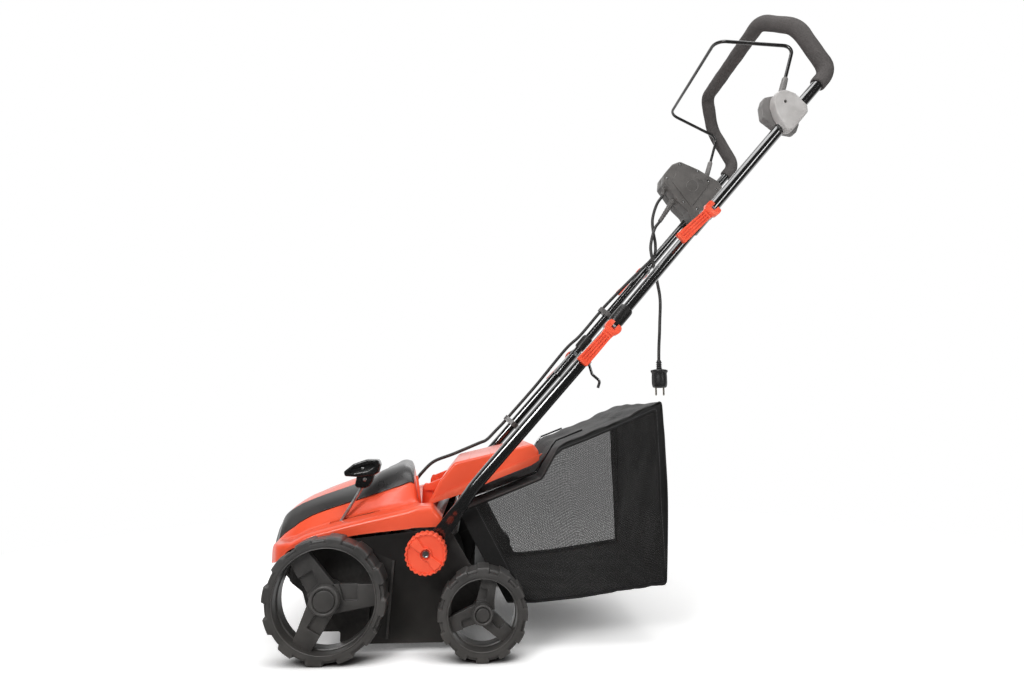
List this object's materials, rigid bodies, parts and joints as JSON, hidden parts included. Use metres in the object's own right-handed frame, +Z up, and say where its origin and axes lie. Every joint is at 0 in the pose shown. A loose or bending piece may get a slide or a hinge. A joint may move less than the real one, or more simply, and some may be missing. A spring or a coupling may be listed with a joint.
{
  "type": "electric lawn scarifier",
  "caption": "Corded walk-behind lawn scarifier with knife drum, depth lever, folding tubular handle, switch box with bail and rear collecting bag.",
  "frame": {"origin": "centre of the bounding box seen from above, at ground level under the four wheels", "axes": "+Z up, -X the machine's front and the way it is pushed, +X the operator's side, +Y its left hand seen from the picture's far side, where the switch box is"},
  "size_m": [1.067, 0.5006, 1.2394],
  "materials": {
    "orange_plastic": "moulded, semi-gloss",
    "black_plastic": "moulded, fine grain",
    "dark_plastic": "moulded, fine grain",
    "grey_plastic": "moulded, satin",
    "black_paint": "gloss powder coat on steel tube",
    "zinc_steel": "bright zinc plate",
    "bare_steel": "oiled bare steel",
    "dark_rod": "dark plated steel rod",
    "motor_metal": "as cast",
    "foam": "closed-cell foam, matt",
    "rubber": "matt",
    "bag_fabric": "coated woven cloth with mesh side panels"
  },
  "bodies": {
    "chassis": {"deck_housing": "black_plastic", "top_cover": "orange_plastic", "motor_cover": "dark_plastic", "motor_body": "motor_metal", "drum_bearing_near": "zinc_steel", "drum_bearing_far": "zinc_steel", "rear_axle": "bare_steel", "knob_bolt_near": "zinc_steel", "knob_bolt_far": "zinc_steel", "drive_belt": "rubber"},
    "depth_crank": {"front_crank_axle": "bare_steel", "depth_rod": "zinc_steel", "depth_grip": "black_plastic"},
    "front_wheel_near": {"front_wheel_near": "dark_plastic", "front_hub_cap_near": "black_plastic"},
    "front_wheel_far": {"front_wheel_far": "dark_plastic", "front_hub_cap_far": "black_plastic"},
    "rear_wheel_near": {"rear_wheel_near": "dark_plastic", "rear_hub_cap_near": "black_plastic"},
    "rear_wheel_far": {"rear_wheel_far": "dark_plastic", "rear_hub_cap_far": "black_plastic"},
    "drum": {"knife_drum": "bare_steel", "drum_pulley": "motor_metal"},
    "rotor": {"motor_rotor": "motor_metal"},
    "flap": {"rear_flap": "orange_plastic"},
    "bag": {"bag_shell": "bag_fabric", "bag_frame": "bare_steel"},
    "lower_handle": {"lower_tube_near": "black_paint", "lower_tube_far": "black_paint", "lower_cam_bolt_near": "zinc_steel", "lower_cam_bolt_far": "zinc_steel", "lower_pivot_washer_near": "black_plastic", "lower_pivot_washer_far": "black_plastic", "cable_clip_lower": "grey_plastic", "cord_hook": "black_plastic", "motor_cable": "rubber"},
    "handle_knob_near": {"handle_knob_near": "orange_plastic"},
    "handle_knob_far": {"handle_knob_far": "orange_plastic"},
    "middle_handle": {"middle_tube_near": "black_paint", "middle_tube_far": "black_paint", "tube_collar_near": "black_plastic", "tube_collar_far": "black_plastic", "cable_clip_upper": "grey_plastic"},
    "upper_section": {"upper_handle": "black_paint", "foam_grip": "foam", "switch_box": "dark_plastic", "bail_bracket_outer": "grey_plastic", "bail_bracket_inner": "dark_plastic", "upper_cam_bolt_near": "zinc_steel", "upper_cam_bolt_far": "zinc_steel", "upper_pivot_washer_near": "black_plastic", "upper_pivot_washer_far": "black_plastic", "power_cord": "rubber", "plug": "rubber"},
    "lower_lever_near": {"lower_cam_lever_near": "orange_plastic"},
    "lower_lever_far": {"lower_cam_lever_far": "orange_plastic"},
    "upper_lever_near": {"upper_cam_lever_near": "orange_plastic"},
    "upper_lever_far": {"upper_cam_lever_far": "orange_plastic"},
    "bail": {"bail_rod": "dark_rod"},
    "push_button": {"push_button": "black_plastic"}
  },
  "joints": [
    {"name": "depth_setting", "type": "hinge", "parent": "chassis", "child": "depth_crank", "pos_m": [-0.4445, 0, 0.118], "axis": [0, 1, 0], "range_deg": [0, 14]},
    {"name": "front_wheel_near_roll", "type": "hinge", "parent": "depth_crank", "child": "front_wheel_near", "pos_m": [-0.4045, -0.227, 0.1], "axis": [0, 1, 0], "continuous": true},
    {"name": "rear_wheel_near_roll", "type": "hinge", "parent": "chassis", "child": "rear_wheel_near", "pos_m": [-0.147, -0.227, 0.0745], "axis": [0, 1, 0], "continuous": true},
    {"name": "front_wheel_far_roll", "type": "hinge", "parent": "depth_crank", "child": "front_wheel_far", "pos_m": [-0.4045, 0.227, 0.1], "axis": [0, 1, 0], "continuous": true},
    {"name": "rear_wheel_far_roll", "type": "hinge", "parent": "chassis", "child": "rear_wheel_far", "pos_m": [-0.147, 0.227, 0.0745], "axis": [0, 1, 0], "continuous": true},
    {"name": "drum_spin", "type": "hinge", "parent": "chassis", "child": "drum", "pos_m": [-0.2745, 0, 0.086], "axis": [0, 1, 0], "continuous": true},
    {"name": "rotor_spin", "type": "hinge", "parent": "chassis", "child": "rotor", "pos_m": [-0.3745, 0, 0.185], "axis": [0, 1, 0], "continuous": true},
    {"name": "flap_lift", "type": "hinge", "parent": "chassis", "child": "flap", "pos_m": [-0.2545, 0, 0.265], "axis": [0, -1, 0], "range_deg": [0, 60]},
    {"name": "bag_pull", "type": "slide", "parent": "chassis", "child": "bag", "axis": [1, 0, 0], "range_m": [0, 0.25]},
    {"name": "handle_fold_lower", "type": "hinge", "parent": "chassis", "child": "lower_handle", "pos_m": [-0.2425, 0, 0.17], "axis": [0, -1, 0], "range_deg": [-8, 100], "deforming": ["motor_cable"]},
    {"name": "knob_near_turn", "type": "hinge", "parent": "chassis", "child": "handle_knob_near", "pos_m": [-0.2425, -0.225, 0.17], "axis": [0, 1, 0], "range_deg": [-90, 90]},
    {"name": "knob_far_turn", "type": "hinge", "parent": "chassis", "child": "handle_knob_far", "pos_m": [-0.2425, 0.225, 0.17], "axis": [0, 1, 0], "range_deg": [-90, 90]},
    {"name": "handle_fold_middle", "type": "hinge", "parent": "lower_handle", "child": "middle_handle", "pos_m": [0.0815, 0, 0.555], "axis": [0, -1, 0], "range_deg": [0, 90], "deforming": ["motor_cable"]},
    {"name": "handle_fold_upper", "type": "hinge", "parent": "middle_handle", "child": "upper_section", "pos_m": [0.2715, 0, 0.777], "axis": [0, -1, 0], "range_deg": [0, 60], "deforming": ["motor_cable"]},
    {"name": "lower_lever_near_open", "type": "hinge", "parent": "lower_handle", "child": "lower_lever_near", "pos_m": [0.0815, -0.2408, 0.555], "axis": [-0.7408, 0, 0.6717], "range_deg": [0, 100]},
    {"name": "lower_lever_far_open", "type": "hinge", "parent": "lower_handle", "child": "lower_lever_far", "pos_m": [0.0815, 0.2408, 0.555], "axis": [0.7408, 0, -0.6717], "range_deg": [0, 100]},
    {"name": "upper_lever_near_open", "type": "hinge", "parent": "upper_section", "child": "upper_lever_near", "pos_m": [0.2715, -0.2408, 0.777], "axis": [-0.682, 0, 0.7314], "range_deg": [0, 100]},
    {"name": "upper_lever_far_open", "type": "hinge", "parent": "upper_section", "child": "upper_lever_far", "pos_m": [0.2715, 0.2408, 0.777], "axis": [0.682, 0, -0.7314], "range_deg": [0, 100]},
    {"name": "bail_pull", "type": "hinge", "parent": "upper_section", "child": "bail", "pos_m": [0.4235, 0, 0.998], "axis": [0, 1, 0], "range_deg": [0, 25], "stiffness_Nm_per_rad": 3, "springref_deg": -17.19},
    {"name": "button_press", "type": "slide", "parent": "upper_section", "child": "push_button", "axis": [0, -1, 0], "range_m": [0, 0.003], "stiffness_N_per_m": 400, "springref_m": -0.002}
  ],
  "couplings": [
    {"joint": "rotor_spin", "follows": "drum_spin", "ratio": 2}
  ]
}
